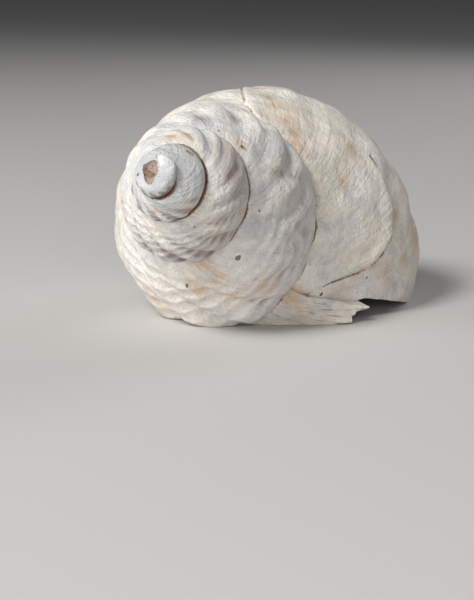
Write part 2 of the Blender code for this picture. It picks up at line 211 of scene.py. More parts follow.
# Stains, as (turn, side, reach in metres): tan on raised and worn places, and grey-purple patches
TAN_STAINS = (
    (-0.999, 0.26, 0.0040), (-0.978, 0.10, 0.0035), (-1.012, 0.50, 0.0045), (-0.955, 0.36, 0.0035),
    (-0.421, 0.38, 0.0028), (-0.400, 0.28, 0.0028), (-0.367, 0.18, 0.0028), (-0.340, 0.12, 0.0025),
    (-0.320, 0.06, 0.0030), (-0.448, 0.57, 0.0028), (-0.300, 0.45, 0.0030), (-0.255, 0.25, 0.0022),
    (-2.423, 0.29, 0.0022), (-2.480, 0.26, 0.0022), (-2.300, 0.80, 0.0020), (-2.150, 0.85, 0.0018),
    (-2.050, 0.60, 0.0022), (-3.050, 0.80, 0.0016), (-2.900, 0.75, 0.0016), (-1.330, 0.12, 0.0018),
    (-0.160, 0.55, 0.0030), (-0.185, 0.70, 0.0030), (-0.225, 0.62, 0.0026), (-0.110, 0.35, 0.0025),
    (-0.860, 0.75, 0.0050), (-0.700, 0.90, 0.0060), (-0.640, 1.30, 0.0060), (-0.300, 1.40, 0.0060),
    (-0.150, 0.36, 0.0022), (-0.165, 0.45, 0.0020), (-0.075, 0.06, 0.0040), (-0.060, 0.20, 0.0040),
    (-0.040, 0.30, 0.0050), (-0.210, 0.90, 0.0060), (-0.120, 1.10, 0.0060), (-1.060, 0.62, 0.0035),
)

# Broad grey-mauve washes, partly the shell's own tint and partly painted shade where the whorls turn away
# from the light: turn, side, reach in turns, reach in sides, amount
TINT_AND_SHADE_WASHES = ((-2.08, 0.62, 0.20, 0.40, 1.0), (-2.28, 0.60, 0.10, 0.30, 0.55), (-1.22, 0.50, 0.09, 0.36, 0.60),
          (-1.10, 0.75, 0.06, 0.22, 0.60), (-0.10, 0.62, 0.06, 0.18, 0.35), (-0.26, 0.70, 0.05, 0.12, 0.30),
          (-1.42, 0.35, 0.05, 0.20, 0.30), (-1.90, 0.85, 0.10, 0.20, 0.50))
MAUVE_STAINS = (
    (-1.250, 0.30, 0.0012), (-1.247, 0.40, 0.0012), (-1.247, 0.53, 0.0012), (-1.244, 0.64, 0.0011),
    (-1.165, 0.62, 0.0016), (-1.165, 0.78, 0.0016), (-1.455, 0.30, 0.0026), (-1.392, 0.42, 0.0024),
    (-2.230, 0.45, 0.0018), (-2.250, 0.65, 0.0016), (-2.180, 0.60, 0.0018), (-2.100, 0.50, 0.0016),
    (-0.155, 0.65, 0.0016), (-0.162, 0.78, 0.0014), (-2.903, 0.92, 0.0007), (-2.967, 0.93, 0.0008),
    (-1.930, 0.80, 0.0012), (-1.960, 0.90, 0.0012), (-1.900, 0.65, 0.0012),
)


def smooth(value, low, high):
    """Goes from 0 at low to 1 at high, level at both ends."""
    part = np.clip((value - low) / (high - low), 0.0, 1.0)
    return part * part * (3.0 - 2.0 * part)


def hashed(cells, seed):
    """A repeatable random number from -1 to 1 for each whole-number cell."""
    mask = np.int64(0xFFFFFFFF)
    mixed = (cells[0] * 73856093) ^ (cells[1] * 19349663) ^ (cells[2] * 83492791)
    mixed = (mixed ^ (seed * 2654435761)) & mask
    mixed = ((mixed ^ (mixed >> 13)) * 1540483477) & mask
    mixed = ((mixed ^ (mixed >> 15)) * 668265263) & mask
    return (mixed ^ (mixed >> 16)) / 2147483648.0 - 1.0


def lattice(x, y, z, seed):
    """Smooth noise from -1 to 1 with features about one unit wide."""
    base = [np.floor(value).astype(np.int64) for value in (x, y, z)]
    part = [value - low for value, low in zip((x, y, z), base)]
    part = [value * value * (3.0 - 2.0 * value) for value in part]
    total = 0.0
    for corner in range(8):
        step = [(corner >> axis) & 1 for axis in range(3)]
        weight = 1.0
        for axis in range(3):
            weight = weight * (part[axis] if step[axis] else 1.0 - part[axis])
        total = total + weight * hashed([low + move for low, move in zip(base, step)], seed)
    return total


def noise_at(points, size, seed):
    """Smooth noise from -1 to 1 at places in space, with features of that size."""
    return lattice(points[..., 0] / size, points[..., 1] / size, points[..., 2] / size, seed)


def noise_along(value, seed):
    """Smooth noise from -1 to 1 along a line, with features about one unit long."""
    return lattice(value, value * 0.0 + 0.5, value * 0.0 + 0.5, seed)


def suture(turn):
    """Radius and height of the seam that the whorl starts from."""
    growth = GROWTH[0] * turn + GROWTH[1] * turn ** 2 + GROWTH[2] * turn ** 3
    radius = SUTURE_RADIUS * np.exp(growth)
    return radius, SUTURE_HEIGHT * np.exp(TALLNESS * growth)


def chord_of(turn):
    """The straight width of the whorl from seam to seam."""
    r0, h0 = suture(turn)
    r1, h1 = suture(turn + 1.0)
    return np.hypot(r1 - r0, h1 - h0)


def arc_of(turn):
    """About how far along the spiral a turn is, in metres."""
    return SUTURE_RADIUS * 1.3 * 2.0 * math.pi * (np.exp(GROWTH[0] * turn) - 1.0) / GROWTH[0]


def plain_profile(turn, side):
    """Radius and height on the worn-smooth whorl: side 0 to 1 is the whorl, 1 to 2 the base."""
    r0, h0 = suture(turn)
    r1, h1 = suture(turn + 1.0)
    along = np.clip(side, 0.0, 1.0)
    swell = SWELL - SWELL_AT_APEX * turn + SWELL_OF_BUD * smooth(-turn, 3.0, 3.8)
    bulge = swell * np.sin(math.pi * along) + SWELL_LEAN * np.sin(2.0 * math.pi * along)
    radius = r0 + (r1 - r0) * along + (h1 - h0) * bulge
    height = h0 + (h1 - h0) * along - (r1 - r0) * bulge

    slope = -math.pi * (swell - 2.0 * SWELL_LEAN)
    way_r = (r1 - r0) + (h1 - h0) * slope
    way_h = (h1 - h0) - (r1 - r0) * slope
    full = smooth(turn, LAST_TURN - 1.0, LAST_TURN - 0.7)
    reach = (INNER_REACH + (BASE_REACH - INNER_REACH) * full)
    reach = reach * np.hypot(r1 - r0, h1 - h0) / np.hypot(way_r, way_h)
    neck_r = INNER_NECK_RADIUS + (NECK_RADIUS - INNER_NECK_RADIUS) * full
    neck_h = SHELL_LENGTH - INNER_NECK_LENGTH - (NECK_LENGTH - INNER_NECK_LENGTH) * full
    down = np.clip(side - 1.0, 0.0, 1.0)
    weights = ((1 - down) ** 3, 3 * down * (1 - down) ** 2, 3 * down ** 2 * (1 - down), down ** 3)
    knots_r = (r1, r1 + way_r * reach, neck_r, CANAL_RADIUS)
    knots_h = (h1, h1 + way_h * reach, neck_h, SHELL_LENGTH)
    base_r = sum(weight * knot for weight, knot in zip(weights, knots_r))
    base_h = sum(weight * knot for weight, knot in zip(weights, knots_h))
    on_base = side > 1.0
    return np.where(on_base, base_r, radius), np.where(on_base, base_h, height)


def normal_of(turn, side):
    """The way out of the whorl, as a part along the radius and a part along the height."""
    step = 0.002
    r_before, h_before = plain_profile(turn, side - step)
    r_after, h_after = plain_profile(turn, side + step)
    slope_r, slope_h = r_after - r_before, h_after - h_before
    length = np.hypot(slope_r, slope_h)
    return slope_h / length, -slope_r / length


def place(turn, radius, height):
    """The point in the resting shell at a turn, a radius and a height along the coil axis."""
    angle = 2.0 * math.pi * turn + LIP_ANGLE
    right = radius * np.cos(angle)
    under = radius * np.sin(angle)
    fall_cos, fall_sin = math.cos(AXIS_FALL), math.sin(AXIS_FALL)
    return np.stack([
        APEX[0] + right,
        APEX[1] + height * fall_cos - under * fall_sin,
        APEX[2] - height * fall_sin - under * fall_cos,
    ], axis=-1)


def sway(turn):
    """How far the coil's middle strays from a straight axis where this seam runs."""
    right = sum(far * np.exp(-((turn - at) / width) ** 2) for at, width, far, _ in AXIS_SWAYS)
    under = sum(low * np.exp(-((turn - at) / width) ** 2) for at, width, _, low in AXIS_SWAYS)
    return np.stack([right, -under * math.sin(AXIS_FALL), -under * math.cos(AXIS_FALL)], axis=-1)


def newness(turn):
    """1 on the last turn, whose base is open to view, and 0 on the whorls that it covers."""
    return smooth(turn, LAST_TURN - 1.0, LAST_TURN - 0.85)


def sheltered(turn):
    """1 on the underside of the resting shell, where the sculpture is fresh, and 0 on the worn top."""
    return smooth(np.sin(2.0 * math.pi * turn + LIP_ANGLE), -0.15, 0.75)


def fold_wave(turn, side):
    """1 on the crest of a fold and -1 between two folds."""
    line = turn + LEAN * side
    wander = 0.16 * noise_along(arc_of(line) / 0.011, 5)
    wave = np.cos(2.0 * math.pi * (FOLDS_PER_TURN * line - FOLD_PHASE + wander))
    return 1.0 - 2.0 * (0.5 - 0.5 * wave) ** FOLD_SHARPNESS


def low_left(turn):
    """1 on the lower left of the spire as it lies, where the edges of the whorls stand out, or 0."""
    return smooth(np.cos(2.0 * math.pi * turn + LIP_ANGLE - TEETH_AT), -0.1, 0.75)


def dark_seam_along(turn):
    """How open the seam is at a turn, and how dark it is painted there, partly dirt and partly shade, from 0
    to 1.
    """
    seam_dark = 0.25 + 0.40 * noise_along(arc_of(turn) / 0.0030, 121)
    for at, width, amount in DARK_SEAMS:
        seam_dark = seam_dark + amount * np.exp(-((turn - at) / width) ** 2)
    return np.clip(seam_dark, 0.0, 1.0)


def fold_band(turn, side):
    """How strong the folds are across the whorl."""
    band = smooth(side, 0.05, 0.55) * (1.0 - smooth(side, 0.75, 1.0))
    open_band = smooth(side, 0.05, 0.55) * (1.0 - smooth(side, 1.1, 1.6))
    return band + newness(turn) * (open_band - band)


def cord_wave(turn, side):
    """1 on a spiral cord and -1 between two cords."""
    drift = 0.1 * noise_along(turn * 9.0, 11)
    wave = np.cos(2.0 * math.pi * (side / CORD_SPACING + drift))
    return wave + 0.25 * np.cos(4.0 * math.pi * (side / CORD_SPACING + drift))


def cord_band(turn, side):
    """How strong the cords are: worn off on top, fading at the seams and on the neck."""
    fade = smooth(side, 0.10, 0.30) * (1.0 - smooth(side, 0.96, 1.0) * (1.0 - newness(turn)))
    fade = fade * (1.0 - smooth(side, 1.65, 1.95))
    started = smooth(turn, FIRST_TURN + 1.2, FIRST_TURN + 1.8)
    return fade * started * (0.22 + 0.78 * sheltered(turn))


def gap_to_route(turn, side, route):
    """Metres from a route of (turn, side) points, more than 0 on the lip's side, and the part along it."""
    scale = np.array((METRES_PER_TURN, METRES_PER_SIDE))
    route = np.array(route) * scale
    here = np.stack([turn * scale[0], side * scale[1]], axis=-1)
    best = np.full(here.shape[:-1], 1.0)
    signed, along = best.copy(), best.copy()
    for step, (start, end) in enumerate(zip(route[:-1], route[1:])):
        way = end - start
        off = here - start
        part = np.clip(off @ way / (way @ way), 0.0, 1.0)
        gap = np.linalg.norm(off - part[..., None] * way, axis=-1)
        turned = way[1] * off[..., 0] - way[0] * off[..., 1]
        nearer = gap < best
        best = np.where(nearer, gap, best)
        signed = np.where(nearer, np.sign(turned) * gap, signed)
        along = np.where(nearer, (step + part) / (len(route) - 1), along)
    return signed, along


def past_line(turn, side, route):
    """How far past a route of (turn, side) points a place is, towards the lip, in metres."""
    route = np.array(route)
    order = np.argsort(route[:, 1])
    line = np.interp(side, route[order, 1], route[order, 0])
    return (turn - line) * METRES_PER_TURN


def flare(turn, side):
    """How far the swelling behind the lip stands out."""
    flare_turn = np.exp(-((turn - FLARE_AT[0]) / FLARE_SPREAD[0]) ** 2)
    flare_side = np.exp(-((side - FLARE_AT[1]) / FLARE_SPREAD[1]) ** 2) * smooth(side, 0.0, 0.3)
    return FLARE * flare_turn * flare_side


def sculpture(turn, side):
    """How far everything that the sea and growth left stands above the smooth whorl."""
    chord = chord_of(turn)
    width = np.minimum(chord, 0.026)
    smooth_point = place(turn, *plain_profile(turn, side))
    size = FOLD_HEIGHT * chord / (1.0 + (chord / FOLD_LOW_FROM) ** 2)
    worn = smooth(turn, FIRST_TURN + 1.2, FIRST_TURN + 2.2)
    uneven = 1.0 + 0.65 * noise_at(smooth_point, 0.006, 3)
    size = size * (1.0 - FOLD_WORN * smooth(turn, *FOLD_WORN_OVER))
    rise = size * worn * uneven * fold_band(turn, side) * (fold_wave(turn, side) - FOLD_DEPTH)
    rise = rise + flare(turn, side)

    patchy = 0.65 + 0.5 * noise_at(smooth_point, 0.006, 21)
    cords = cord_band(turn, side) * cord_wave(turn, side)
    rise = rise + CORD_HEIGHT * width ** 0.75 * cords * patchy

    line = arc_of(turn + LEAN * side)
    seam = np.minimum(side, np.where(side > 1.0, 9.0, 1.0 - side + newness(turn) * 9.0)) * chord
    off_seam = smooth(seam, 0.0, 0.0012)
    threads = 0.5 * noise_along(line / 0.0011, 31) + 0.5 * noise_along(line / 0.0023, 33)
    threads = threads * (0.5 + 0.5 * noise_at(smooth_point, 0.009, 35))
    rise = rise + THREAD_HEIGHT * threads * off_seam * smooth(chord, 0.005, 0.014)
    for height, grain, seed, less, narrow, wide in LUMPS:
        lump = noise_at(smooth_point, grain, seed) - less
        rise = rise + height * lump * off_seam * smooth(chord, narrow, wide)
    tooth = 0.5 + 0.5 * fold_wave(turn, side)
    ledge = smooth(side, *EDGE_SIDES[:2]) * (1.0 - smooth(side, *EDGE_SIDES[2:])) * (1.0 - newness(turn))
    ledge = ledge * smooth(turn, -4.2, -3.4)
    rise = rise + chord * ledge * (EDGE_HEIGHT + TOOTH_HEIGHT * low_left(turn) * (0.25 + 0.75 * tooth))
    channel = np.exp(-((side * chord - 0.0008) / 0.0008) ** 2) * smooth(side * chord, 0.0, 0.0006)
    rise = rise - SEAM_CHANNEL * channel * smooth(chord, 0.004, 0.012)

    past = past_line(turn, side, GROWTH_STOP)
    reach = smooth(side, 0.0, 0.12) * (1.0 - smooth(side, 0.9, 1.3)) * smooth(turn, -0.75, -0.6)
    newer = smooth(past, -0.0004, 0.001) * (1.0 - smooth(past, 0.003, 0.016))
    older = smooth(past, -0.006, -0.0006) * (1.0 - smooth(past, -0.0004, 0.0006))
    rise = rise + reach * (GROWTH_STOP_RISE * newer - GROWTH_STOP_DROP * older)
    if np.max(turn) > -0.45:
        past, along = gap_to_route(turn, side, OLD_BREAK)
        past = past + 0.0004 * noise_at(smooth_point, 0.0016, 45)
        reach = smooth(along, 0.0, 0.10) * (1.0 - smooth(along, 0.85, 1.0))
        ridge = np.exp(-((past + 0.0008) / 0.0011) ** 2)
        drop = smooth(past, -0.0003, 0.0004) * (1.0 - smooth(past, 0.002, 0.011))
        rise = rise + reach * (OLD_BREAK_RIDGE * ridge - OLD_BREAK_DROP * drop)
    return rise


def crack(turn, side):
    """How deep the worn crack beside the seam is."""
    chord = chord_of(turn)
    off = side * chord
    depth = 0.6 + 0.6 * noise_along(arc_of(turn) / 0.0021, 51) + 0.35 * noise_along(arc_of(turn) / 0.0007, 53)
    depth = np.clip(depth, 0.15, 1.5) * smooth(chord, 0.0008, 0.006)
    middle = 0.00028 + 0.00010 * noise_along(arc_of(turn) / 0.0016, 55)
    depth = depth * (0.4 + 1.8 * dark_seam_along(turn))
    return SEAM_CRACK * depth * np.exp(-((off - middle) / 0.00022) ** 2)


def surface(turn, side, out=0.0):
    """The point on the shell's outside, or that far outside it."""
    turn, side = np.broadcast_arrays(np.asarray(turn, float), np.asarray(side, float))
    radius, height = plain_profile(turn, side)
    out_r, out_h = normal_of(turn, side)
    rise = sculpture(turn, side) - crack(turn, side) + out
    above = turn - 1.0
    seam_r, seam_h = normal_of(above, np.ones_like(side))
    crimp = CRIMP * sculpture_at_seam(above) * (1.0 - smooth(side, 0.0, 0.10))
    spot = place(turn, radius + rise * out_r + crimp * seam_r, height + rise * out_h + crimp * seam_h)
    return spot + sway(turn + np.clip(side, 0.0, 1.0))


def sculpture_at_seam(turn):
    """The scallops that a whorl's folds press into the seam below it."""
    chord = chord_of(turn)
    worn = smooth(turn, FIRST_TURN + 1.0, FIRST_TURN + 2.0)
    return FOLD_HEIGHT * chord * worn * fold_wave(turn, np.ones_like(turn)) * (0.4 + 0.6 * sheltered(turn))


def side_samples(turn):
    """Sides of the row's points, closer together beside the seams."""
    for until, steps in WHORL_STEPS:
        if turn < until:
            break
    even = np.arange(1, steps) / steps
    near = np.array([0.0, 0.006, 0.012, 0.019])
    inside = 0.019 + even * (0.935 - 0.019)
    return np.concatenate([near, inside, [0.935, 0.947, 0.957, 0.967, 0.977, 0.988]])


def make_mesh(name, points, faces, coil, material):
    """A mesh object whose corners carry their turn and side."""
    mesh = bpy.data.meshes.new(name)
    mesh.from_pydata([tuple(point) for point in points], [], faces)
    layer = mesh.uv_layers.new(name="coil")
    flat = np.array([pair for face in coil for pair in face], float).ravel()
    layer.data.foreach_set("uv", flat)
    mesh.materials.append(material)
    mesh.update()
    made = bpy.data.objects.new(name, mesh)
    bpy.context.scene.collection.objects.link(made)
    return made


def make_envelope(material):
    """The closed outside of the whole coil, with the mouth still filled."""
    row_count = round((LAST_TURN - FIRST_TURN) * ROWS_PER_TURN)
    turns = LAST_TURN - np.arange(row_count, -1, -1) / ROWS_PER_TURN
    first_open = row_count - ROWS_PER_TURN
    base_sides = 1.0 + np.arange(BASE_STEPS) / BASE_STEPS
    points, rows, row_sides = [], [], []
    for index, turn in enumerate(turns):
        sides = side_samples(turn)
        if index >= first_open:
            sides = np.concatenate([sides, base_sides])
        start = len(points)
        points.extend(surface(np.full(len(sides), turn), sides))
        rows.append(list(range(start, start + len(sides))))
        row_sides.append(list(sides))
    for index in range(first_open):
        rows[index].append(rows[index + ROWS_PER_TURN][0])
        row_sides[index].append(1.0)
    seam_spot = row_sides[first_open].index(1.0)
    rows[first_open][seam_spot] = rows[row_count][0]

    tip = len(points)
    points.append(place(0.0, 0.0, SHELL_LENGTH + 0.0008))
    rim = []
    for index in range(first_open, row_count):
        rim.append(len(points))
        points.append(place(turns[index], *plain_profile(turns[index], np.array(2.0))))
        rows[index].append(rim[-1])
        row_sides[index].append(2.0)
    rows[row_count].append(rim[0])
    row_sides[row_count].append(2.0)
    apex = len(points)
    points.append(place(0.0, 0.0, 0.9 * suture(FIRST_TURN)[1]))

    faces, coil = [], []
    for index in range(row_count):
        before, after = ([(spot, (turns[row], side)) for spot, side in zip(rows[row], row_sides[row])]
                         for row in (index, index + 1))
        if index < first_open <= index + 1:
            after = after[:seam_spot + 1]
        b = a = 0
        while b + 1 < len(before) or a + 1 < len(after):
            next_b = before[b + 1][1][1] if b + 1 < len(before) else 9.0
            next_a = after[a + 1][1][1] if a + 1 < len(after) else 9.0
            face = [before[b], after[a]]
            if next_a <= next_b:
                a += 1
                face.append(after[a])
            if next_b <= next_a:
                b += 1
                face.append(before[b])
            faces.append(tuple(spot for spot, _ in face))
            coil.append(tuple(at for _, at in face))
    for step, (here, there) in enumerate(zip(rim, rim[1:] + rim[:1])):
        faces.append((here, there, tip))
        coil.append(((turns[first_open + step], 2.0),) * 3)
    seam = [row[0] for row in rows[:ROWS_PER_TURN + 1]]
    for step, (here, there) in enumerate(zip(seam[:-1], seam[1:])):
        faces.append((apex, there, here))
        coil.append(((turns[step], 0.0),) * 3)
    for here, there in zip(rows[0][:-1], rows[0][1:]):
        faces.append((apex, here, there))
        coil.append(((turns[0], 0.5),) * 3)
    outer = rows[row_count]
    inner = rows[first_open][seam_spot:]
    faces.append(tuple(inner[1:-1] + outer[::-1]))
    coil.append(((LAST_TURN, 1.0),) * len(faces[-1]))
    return make_mesh("sea_snail_shell", points, faces, coil, material)


def grid_faces(rows, columns, closed, turns, sides):
    """Quads over rows of points, with the turn and side of each corner."""
    faces, coil = [], []
    for row in range(rows - 1):
        for step in range(columns if closed else columns - 1):
            after = (step + 1) % columns
            corners = (row * columns + step, row * columns + after,
                       (row + 1) * columns + after, (row + 1) * columns + step)
            faces.append(corners)
            coil.append(tuple((turns[corner], sides[corner]) for corner in corners))
    return faces, coil


def make_horn(material):
    """The hollow of the last whorl, a horn that widens to the mouth and comes out below it."""
    count = round((HORN_END - HORN_START) * HORN_ROWS_PER_TURN)
    round_angle = 2.0 * math.pi * np.arange(HORN_POINTS) / HORN_POINTS
    across = np.sign(np.sin(round_angle)) * np.abs(np.sin(round_angle)) ** HORN_FULLNESS
    along = np.sign(np.cos(round_angle)) * np.abs(np.cos(round_angle)) ** HORN_FULLNESS
    points, turns, sides = [], [], []
    for index in range(count + 1):
        turn = HORN_START + (HORN_END - HORN_START) * index / count
        size = 0.25 + 0.75 * float(smooth(turn, HORN_START, HORN_START + HORN_OPENS_OVER))
        side = HORN_MIDDLE + HORN_REACH * size * along
        outer_r, outer_h = plain_profile(np.full(HORN_POINTS, turn), side)
        out_r, out_h = normal_of(np.full(HORN_POINTS, turn), side)
        rise = flare(turn, side) - 0.0003
        outer_r, outer_h = outer_r + rise * out_r, outer_h + rise * out_h
        inner_r, inner_h = plain_profile(np.full(HORN_POINTS, turn - 1.0), 1.0 + side / 2.0)
        gap = np.hypot(outer_r - inner_r, outer_h - inner_h)
        middle = 0.5 + 0.5 * (CALLUS - WALL) / gap
        half = np.maximum(0.5 - 0.5 * (CALLUS + WALL) / gap, 0.1)
        weight = middle + half * size * across
        radius = inner_r + (outer_r - inner_r) * weight
        height = inner_h + (outer_h - inner_h) * weight
        points.extend(place(turn, radius, height))
        turns.extend([turn] * HORN_POINTS)
        sides.extend(side)
    faces, coil = grid_faces(count + 1, HORN_POINTS, True, turns, sides)
    faces.append(tuple(reversed(range(HORN_POINTS))))
    faces.append(tuple(range(count * HORN_POINTS, (count + 1) * HORN_POINTS)))
    coil.append(((HORN_START, 1.0),) * HORN_POINTS)
    coil.append(((HORN_END, 1.0),) * HORN_POINTS)
    return make_mesh("mouth_hollow", points, faces, coil, material)


def tube_along(name, centres, radii, corners, coil_at, material):
    """A closed tube through the centres, with a radius at each."""
    centres = np.asarray(centres, float)
    ways = np.gradient(centres, axis=0)
    points = []
    for centre, way, radius in zip(centres, ways, radii):
        way = way / np.linalg.norm(way)
        first = np.cross(way, (0.0, 0.0, 1.0))
        first = first / np.linalg.norm(first)
        second = np.cross(way, first)
        for corner in range(corners):
            angle = 2.0 * math.pi * corner / corners
            points.append(centre + radius * (math.cos(angle) * first + math.sin(angle) * second))
    turns = np.repeat(coil_at[0], corners)
    sides = np.repeat(coil_at[1], corners)
    faces, coil = grid_faces(len(centres), corners, True, turns, sides)
    last = (len(centres) - 1) * corners
    faces.append(tuple(reversed(range(corners))))
    faces.append(tuple(range(last, last + corners)))
    coil.append(((turns[0], sides[0]),) * corners)
    coil.append(((turns[-1], sides[-1]),) * corners)
    return make_mesh(name, points, faces, coil, material)


def along_route(route, stations):
    """Evenly spaced places on a route, and each of its columns read there."""
    columns = np.array(route).T
    spots = np.linspace(0.0, len(route) - 1.0, stations)
    return spots, [np.interp(spots, range(len(route)), column) for column in columns]


def groove(name, route, width, lift, stations, seed, material):
    """A cutter for a furrow along a route of (turn, side) points, fading out at both ends."""
    spots, (turns, sides) = along_route(route, stations)
    turns = turns + 0.001 * noise_along(spots * 2.1, seed)
    fade = np.sin(math.pi * np.linspace(0.04, 0.96, stations)) ** 0.5
    uneven = 1.0 + 0.35 * noise_along(spots * 3.0, seed + 1)
    centres = surface(turns, sides, lift)
    return tube_along(name, centres, 0.5 * width * fade * uneven, 10, (turns, sides), material)


def make_flange(material):
    """The newest band of growth along the lip, standing out from an old break, with its lamellae."""
    across, along = 90, 70
    high, low, turns, sides = [], [], [], []
    for row in range(along + 1):
        side = FLANGE_SIDES[0] + (FLANGE_SIDES[1] - FLANGE_SIDES[0]) * row / along
        back = FLANGE_TOP - FLANGE_TOP_LEAN * side + 0.0020 * float(noise_along(np.array(side * 17.0), 61))
        front = FLANGE_END - FLANGE_END_LEAN * side
        turn = np.linspace(back, front, across + 1)
        line = turn + FLANGE_FLARE_LEAN * side
        turned_out = smooth(line, -0.055, 0.0) * float(smooth(side, 0.08, 0.40))
        rise = FLANGE_RISE * float(smooth(side, -0.06, 0.10)) + lamellae(turn, side)
        rise = rise + FLANGE_FLARE * turned_out
        high.append(surface(turn, np.full(across + 1, side), rise))
        low.append(surface(turn, np.full(across + 1, side), -FLANGE_ROOT))
        turns.extend(turn)
        sides.extend([side] * (across + 1))
    points = np.concatenate([np.reshape(high, (-1, 3)), np.reshape(low, (-1, 3))])
    wide, half = across + 1, (across + 1) * (along + 1)
    faces, coil = [], []
    at = list(zip(turns, sides))
    for row in range(along):
        for step in range(across):
            here = row * wide + step
            there = here + wide
            corners = (here, here + 1, there + 1, there)
            faces.append(corners)
            coil.append(tuple(at[corner] for corner in corners))
            faces.append(tuple(half + corner for corner in (here, there, there + 1, here + 1)))
            coil.append((at[here], at[there], at[there + 1], at[here + 1]))
    edge = list(range(wide))
    edge += [row * wide + across for row in range(1, along + 1)]
    edge += [along * wide + step for step in range(across - 1, -1, -1)]
    edge += [row * wide for row in range(along - 1, 0, -1)]
    for here, there in zip(edge, edge[1:] + edge[:1]):
        faces.append((here, half + here, half + there, there))
        coil.append((at[here], at[here], at[there], at[there]))
    return make_mesh("lip_flange", points, faces, coil, material)


def lamella_line(turn, side):
    """The place along the growth lines, a little wavy, that the ledges of the newest band follow."""
    return turn + LAMELLA_LEAN * side + 0.0012 * noise_along(np.asarray(side * 23.0), 63)


def lamellae(turn, side):
    """How far the thin ledges on the newest band stand out."""
    line = lamella_line(turn, side)
    rise = 0.0
    for spot, height, width in LAMELLAE:
        past = (line - spot) / width
        rise = rise + height * np.where(past < 0.0, np.exp(-(past / 2.6) ** 2), np.exp(-(past / 0.45) ** 2))
    return rise


def shade_under_lamellae(turn, side):
    """How dark the painted shade is in the lines below the ledges of the newest band, and along its top,
    where a brown crack also runs.
    """
    line = lamella_line(turn, side)
    # Painted shade in the lines just past each ledge.
    dark = sum(amount * np.exp(-((line - spot) / 0.0014) ** 2) for spot, amount in SHADE_LINES)
    top = np.exp(-((turn - FLANGE_TOP + FLANGE_TOP_LEAN * side) / 0.0022) ** 2)
    # Painted shade along the band's top, where a brown crack also runs.
    dark = dark + 1.2 * top * smooth(-side, -0.2, -0.1)
    within = smooth(side, 0.0, 0.03) * (1.0 - smooth(side, 0.49, 0.54)) * smooth(turn, -0.25, -0.2)
    return dark * within * np.clip(0.6 + 0.7 * noise_along(turn / 0.006, 64), 0.0, 1.0)


def make_chip(material):
    """The piece broken out of the lip: a low wedge with steps at its high end and rough sides."""
    start = place(CHIP_FROM[0], *plain_profile(np.array(CHIP_FROM[0]), np.array(CHIP_FROM[1])))
    end = place(CHIP_TO[0], *plain_profile(np.array(CHIP_TO[0]), np.array(CHIP_TO[1])))
    way = (end - start) * (1.0, 1.0, 0.0)
    length = np.linalg.norm(way)
    way = way / length
    outward = np.array((way[1], -way[0], 0.0))
    beyond = length + 0.002
    outline = np.array(CHIP_OUTLINE + ((beyond, -0.0001), (beyond, -0.004)))
    spots = np.linspace(0.0, len(outline) - 1.0, 71)
    far = np.interp(spots, range(len(outline)), outline[:, 0])
    high = np.interp(spots, range(len(outline)), outline[:, 1])
    depths = np.linspace(CHIP_WIDTH[0], CHIP_WIDTH[1], 25)
    points = []
    for depth in depths:
        rough = lattice(far / 0.0011, np.full_like(far, depth / 0.0014), np.full_like(far, 0.5), 81)
        rough = 0.00016 * rough
        rough = rough * smooth(high, -0.002, 0.0)
        for one_far, one_high, one_rough in zip(far, high, rough):
            spot = start + way * one_far + outward * depth
            points.append((spot[0], spot[1], one_high + one_rough))
    count = len(far)
    faces = [tuple(range(count)), tuple(reversed(range((len(depths) - 1) * count, len(depths) * count)))]
    for row in range(len(depths) - 1):
        for step in range(count):
            after = (step + 1) % count
            faces.append((row * count + step, (row + 1) * count + step,
                          (row + 1) * count + after, row * count + after))
    coil = [((-0.12, 0.7),) * len(face) for face in faces]
    return make_mesh("lip_chip", points, faces, coil, material)


def make_canal(material):
    """The open channel under the snout of the shell, from the mouth out through its end."""
    stations, corners, rounds = 40, 32, 6
    _, (*middle, radii) = along_route(CANAL_ROUTE, stations)
    centres = np.stack(middle, axis=1)
    for _ in range(rounds):
        centres[1:-1] = 0.25 * centres[:-2] + 0.5 * centres[1:-1] + 0.25 * centres[2:]
    at = (np.full(stations, -0.1), np.full(stations, 1.5))
    return tube_along("canal", centres, radii, corners, at, material)


def blob(centre, frame, sizes, seed):
    """A rough closed blob: its points and faces, from its three directions and half sizes."""
    rings, corners = 11, 16
    points, faces = [], []
    for ring in range(rings):
        fall = math.pi * (ring + 0.5) / rings
        for corner in range(corners):
            angle = 2.0 * math.pi * corner / corners
            wide = math.sin(fall)
            spot = np.array((wide * math.cos(angle), wide * math.sin(angle), math.cos(fall)))
            rough = 1.0 + PIT_ROUGHNESS * float(noise_at(spot + (0.0, 0.0, 7.0 * seed), 0.8, 101))
            points.append(centre + rough * (spot * sizes) @ frame)
    for ring in range(rings - 1):
        for corner in range(corners):
            here = ring * corners + corner
            after = ring * corners + (corner + 1) % corners
            faces.append((here, here + corners, after + corners, after))
    faces.append(tuple(range(corners)))
    faces.append(tuple(reversed(range((rings - 1) * corners, rings * corners))))
    return points, faces


def make_pits(material):
    """Holes and pits that the sea wore: rough blobs whose middles lie near the surface."""
    points, faces = [], []
    for count, (turn, side, long, wide, deep, lift) in enumerate(PITS):
        at_turn, at_side = np.array(turn), np.array(side)
        ahead = surface(at_turn + 0.004, at_side) - surface(at_turn - 0.004, at_side)
        across = surface(at_turn, at_side + 0.01) - surface(at_turn, np.maximum(at_side - 0.01, 0.0))
        ahead = ahead / np.linalg.norm(ahead)
        out = np.cross(ahead, across)
        out = out / np.linalg.norm(out)
        frame = np.array((ahead, np.cross(out, ahead), out))
        centre = surface(at_turn, at_side) + lift * out
        more, sides = blob(centre, frame, (long, wide, deep), count)
        faces.extend(tuple(len(points) + corner for corner in side_corners) for side_corners in sides)
        points.extend(more)
    coil = [((-9.0, 0.5),) * len(face) for face in faces]
    return make_mesh("pits", points, faces, coil, material)


